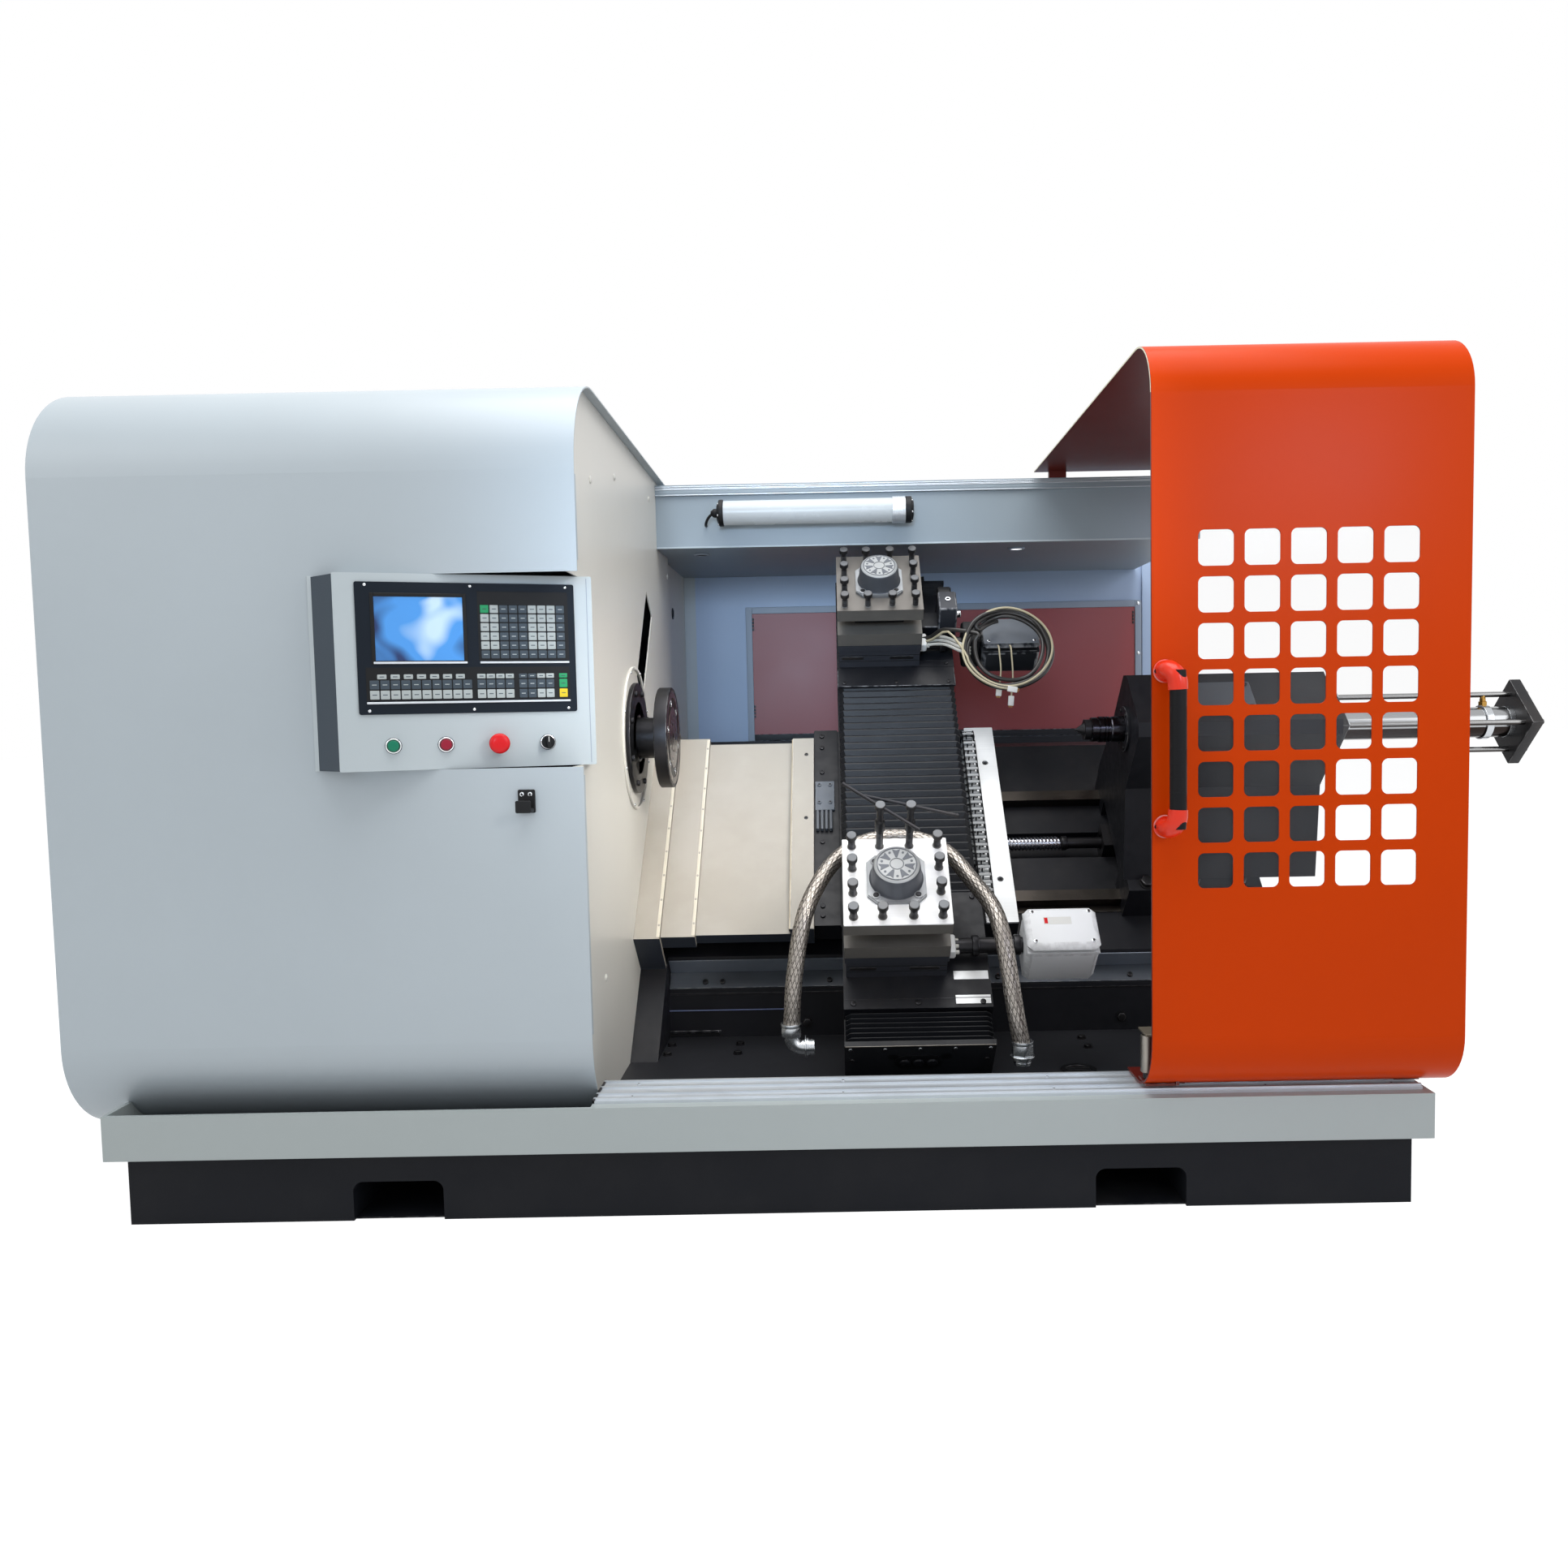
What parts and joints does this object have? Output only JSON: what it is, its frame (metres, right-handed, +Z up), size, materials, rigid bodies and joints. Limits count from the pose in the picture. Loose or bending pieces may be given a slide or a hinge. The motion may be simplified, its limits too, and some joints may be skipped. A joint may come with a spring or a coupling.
{
  "type": "cnc metal spinning machine",
  "caption": "Slant-bed CNC spinning machine that forms sheet metal discs over a turning former, with turret cross slides, a hydraulic tailstock, a guarded headstock and a sliding door.",
  "frame": {"origin": "centre of the pattern of four levelling-foot holes, at the plinth's underside", "axes": "+X along the spindle axis towards the tailstock, +Y to the rear, +Z up; the operator stands on the -Y side"},
  "size_m": [3.326, 2.1, 1.683],
  "materials": {
    "black_paint": "satin",
    "grey_paint": "satin",
    "white_paint": "satin",
    "casting_black": "painted satin",
    "ground_steel": "ground",
    "dark_steel": "blackened",
    "galvanised": "semi-matte",
    "aluminium": "mill finish",
    "maroon_paint": "satin",
    "orange_paint": "gloss",
    "clear_sheet": "clear",
    "black_plastic": "matte",
    "lamp_white": "opal",
    "green_plastic": "gloss",
    "red_plastic": "gloss",
    "bellows_fabric": "matte",
    "rubber_belt": "matte",
    "braid": "braided",
    "zinc": "bright",
    "light_box_paint": "satin"
  },
  "bodies": {
    "machine": {"plinth": "black_paint", "tray": "grey_paint", "door_track": "aluminium", "headstock_cover": "white_paint", "partition": "white_paint", "slant_bed": "casting_black", "headstock_housing": "casting_black", "spindle_bearings": "ground_steel", "main_motor": "black_paint", "drive_belt": "rubber_belt", "spindle_rings": "dark_steel", "z_rails": "ground_steel", "z_drive": "dark_steel", "fixed_way_cover": "galvanised", "tailstock": "casting_black", "cylinder_barrel": "zinc", "cylinder_frame": "dark_steel", "roof_beam": "white_paint", "rear_wall": "white_paint", "access_panel": "maroon_paint", "tube_lamp": "lamp_white", "lamp_lead": "black_plastic", "control_box": "light_box_paint", "control_panel": "black_plastic"},
    "spindle": {"spindle": "ground_steel", "face_plate": "dark_steel"},
    "motor_rotor": {"motor_pulley": "dark_steel"},
    "saddle": {"saddle": "casting_black", "z_blocks": "dark_steel", "saddle_strips": "aluminium", "sliding_way_cover": "galvanised", "x_rails": "ground_steel", "x_drives": "black_paint", "drag_chain": "black_plastic", "bellows": "bellows_fabric"},
    "middle_cover": {"middle_way_cover": "galvanised"},
    "z_screw": {"z_screw": "ground_steel"},
    "front_screw": {"front_screw": "ground_steel"},
    "rear_screw": {"rear_screw": "ground_steel"},
    "front_slide": {"front_slide": "casting_black", "front_turret_base": "casting_black", "front_turret_motor": "light_box_paint", "braided_hose": "braid", "hose_fittings": "zinc"},
    "front_head": {"front_turret": "ground_steel"},
    "rear_slide": {"rear_slide": "casting_black", "rear_turret_base": "casting_black", "rear_turret_motor": "black_paint", "cable_coil": "black_plastic"},
    "rear_head": {"rear_turret": "ground_steel"},
    "quill": {"quill": "ground_steel"},
    "live_centre": {"live_centre": "ground_steel"},
    "door": {"door": "orange_paint", "door_window": "clear_sheet", "door_handle": "black_plastic", "door_guides": "dark_steel"},
    "green_button": {"green_button": "green_plastic"},
    "red_button": {"red_button": "red_plastic"},
    "emergency_stop": {"emergency_stop": "red_plastic"},
    "selector": {"selector": "black_plastic"}
  },
  "joints": [
    {"name": "spindle_spin", "type": "hinge", "parent": "machine", "child": "spindle", "pos_m": [-0.3, -0.235, 0.935], "axis": [1, 0, 0], "continuous": true},
    {"name": "motor_spin", "type": "hinge", "parent": "machine", "child": "motor_rotor", "pos_m": [-0.93, 0.47, 1.04202], "axis": [1, 0, 0], "continuous": true},
    {"name": "saddle_travel", "type": "slide", "parent": "machine", "child": "saddle", "axis": [1, 0, 0], "range_m": [-0.3, 0.11]},
    {"name": "middle_cover_travel", "type": "slide", "parent": "machine", "child": "middle_cover", "axis": [1, 0, 0], "range_m": [-0.15, 0.055]},
    {"name": "z_screw_spin", "type": "hinge", "parent": "machine", "child": "z_screw", "pos_m": [0, 0.0139, 0.61397], "axis": [1, 0, 0], "continuous": true},
    {"name": "front_slide_travel", "type": "slide", "parent": "saddle", "child": "front_slide", "axis": [0, 0.7071, 0.7071], "range_m": [-0.03, 0.26], "deforming": ["bellows", "drag_chain"]},
    {"name": "rear_slide_travel", "type": "slide", "parent": "saddle", "child": "rear_slide", "axis": [0, -0.7071, -0.7071], "range_m": [-0.03, 0.26], "deforming": ["bellows"]},
    {"name": "front_screw_spin", "type": "hinge", "parent": "saddle", "child": "front_screw", "pos_m": [0.265, -0.07272, 0.77272], "axis": [0, 0.7071, 0.7071], "continuous": true},
    {"name": "rear_screw_spin", "type": "hinge", "parent": "saddle", "child": "rear_screw", "pos_m": [0.385, -0.07272, 0.77272], "axis": [0, 0.7071, 0.7071], "continuous": true},
    {"name": "front_turret_index", "type": "hinge", "parent": "front_slide", "child": "front_head", "pos_m": [0.278, -0.59421, 0.57579], "axis": [0, -0.7071, 0.7071], "continuous": true},
    {"name": "rear_turret_index", "type": "hinge", "parent": "rear_slide", "child": "rear_head", "pos_m": [0.278, 0.14755, 1.31754], "axis": [0, -0.7071, 0.7071], "continuous": true},
    {"name": "quill_travel", "type": "slide", "parent": "machine", "child": "quill", "axis": [-1, 0, 0], "range_m": [-0.06, 0.2]},
    {"name": "live_centre_spin", "type": "hinge", "parent": "quill", "child": "live_centre", "pos_m": [0.79, -0.235, 0.935], "axis": [1, 0, 0], "continuous": true},
    {"name": "door_travel", "type": "slide", "parent": "machine", "child": "door", "axis": [1, 0, 0], "range_m": [-1.08, 0]},
    {"name": "green_press", "type": "slide", "parent": "machine", "child": "green_button", "axis": [-0.3289, 0.9444, 0], "range_m": [0, 0.004], "stiffness_N_per_m": 500, "springref_m": -0.002},
    {"name": "red_press", "type": "slide", "parent": "machine", "child": "red_button", "axis": [-0.3289, 0.9444, 0], "range_m": [0, 0.004], "stiffness_N_per_m": 500, "springref_m": -0.002},
    {"name": "stop_press", "type": "slide", "parent": "machine", "child": "emergency_stop", "axis": [-0.3289, 0.9444, 0], "range_m": [0, 0.006]},
    {"name": "selector_turn", "type": "hinge", "parent": "machine", "child": "selector", "pos_m": [-0.43169, -0.88174, 0.945], "axis": [-0.3289, 0.9444, 0], "range_deg": [-45, 45]}
  ],
  "couplings": [
    {"joint": "motor_spin", "follows": "spindle_spin", "ratio": 1.2222},
    {"joint": "middle_cover_travel", "follows": "saddle_travel", "ratio": 0.5},
    {"joint": "z_screw_spin", "follows": "saddle_travel", "rad_per_m": 314.16},
    {"joint": "front_screw_spin", "follows": "front_slide_travel", "rad_per_m": 314.16},
    {"joint": "rear_screw_spin", "follows": "rear_slide_travel", "rad_per_m": -314.16}
  ]
}
